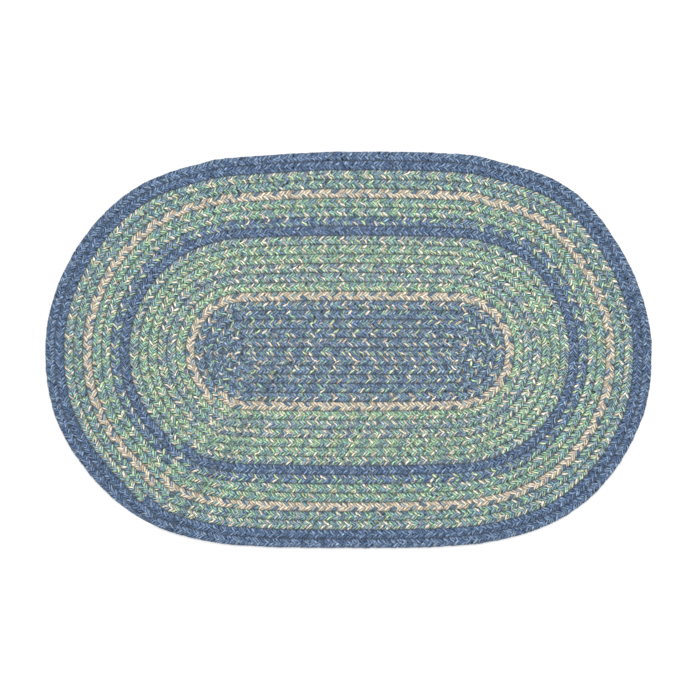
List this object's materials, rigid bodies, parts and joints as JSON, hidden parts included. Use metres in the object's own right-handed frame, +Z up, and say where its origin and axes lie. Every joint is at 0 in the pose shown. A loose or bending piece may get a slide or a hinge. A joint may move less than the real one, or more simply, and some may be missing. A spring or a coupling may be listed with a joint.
{
  "type": "braided rug",
  "caption": "Flat oval rug of one three-strand jute braid, coiled and laced edge to edge, that rests on a floor.",
  "frame": {"origin": "middle of the underside, where the rug rests on the floor", "axes": "+X along the rug's length, +Y across it, +Z up out of the floor"},
  "size_m": [0.9144, 0.5978, 0.008],
  "materials": {
    "jute_braid": "matte dyed jute yarns, plaited, in denim blue, teal, sea green and natural cream"
  },
  "bodies": {
    "root": {"braided_rug": "jute_braid"}
  },
  "joints": []
}
